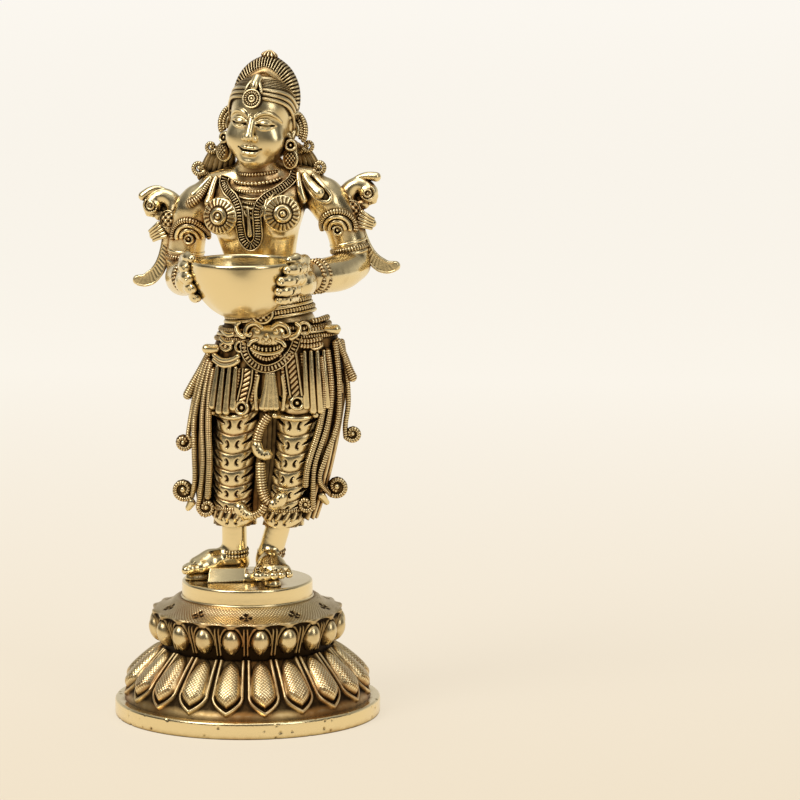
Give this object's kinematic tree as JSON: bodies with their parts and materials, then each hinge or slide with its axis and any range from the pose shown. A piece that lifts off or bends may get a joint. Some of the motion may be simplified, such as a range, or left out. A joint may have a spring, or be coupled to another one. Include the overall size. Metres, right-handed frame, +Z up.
{
  "type": "brass lamp bearer",
  "caption": "Standing brass figure that holds an open oil bowl in front of the waist, with parrots on the arms, on a hollow round double lotus pedestal.",
  "frame": {"origin": "centre of the foot ring's flat underside", "axes": "+Z up, -Y towards the front (the bowl), +X towards the figure's left side"},
  "size_m": [0.1242, 0.116, 0.2816],
  "materials": {
    "polished_brass": "polished, with a warm worn lustre",
    "antique_brass": "chased, with dark patina in the recesses",
    "steel": "plain"
  },
  "bodies": {
    "pedestal": {"foot_ring": "polished_brass", "lower_lotus": "antique_brass", "upper_lotus": "antique_brass", "plinth_disc": "polished_brass"},
    "figure": {"fixing_stud": "steel", "washer": "steel", "nut": "steel", "foot_pad": "antique_brass", "right_foot": "polished_brass", "left_foot": "polished_brass", "anklets": "antique_brass", "right_leg": "antique_brass", "left_leg": "antique_brass", "hem_cuffs": "antique_brass", "hips": "antique_brass", "right_drape": "antique_brass", "left_drape": "antique_brass", "back_drape": "antique_brass", "right_cords": "antique_brass", "left_cords": "antique_brass", "front_sash": "antique_brass", "sash_curls": "antique_brass", "girdle": "antique_brass", "lion_clasp": "antique_brass", "festoon": "antique_brass", "right_tassels": "antique_brass", "left_tassels": "antique_brass", "thigh_bosses": "antique_brass", "torso": "polished_brass", "breast_discs": "antique_brass", "necklace": "antique_brass", "garland": "antique_brass", "right_lappets": "antique_brass", "left_lappets": "antique_brass", "head": "polished_brass", "hair": "antique_brass", "crest": "antique_brass", "crest_finial": "antique_brass", "forehead_jewel": "antique_brass", "ear_flowers": "antique_brass", "earrings": "antique_brass", "right_curls": "antique_brass", "left_curls": "antique_brass", "right_upper_arm": "polished_brass", "left_upper_arm": "polished_brass", "right_armlet": "antique_brass", "left_armlet": "antique_brass", "right_forearm": "polished_brass", "left_forearm": "polished_brass", "right_bangles": "antique_brass", "left_bangles": "antique_brass", "right_hand": "polished_brass", "left_hand": "polished_brass", "lamp_bowl": "polished_brass", "right_parrot": "antique_brass", "left_parrot": "antique_brass"}
  },
  "joints": [
    {"name": "figure_turn", "type": "hinge", "parent": "pedestal", "child": "figure", "pos_m": [0, 0, 0.057], "axis": [0, 0, 1], "continuous": true}
  ]
}
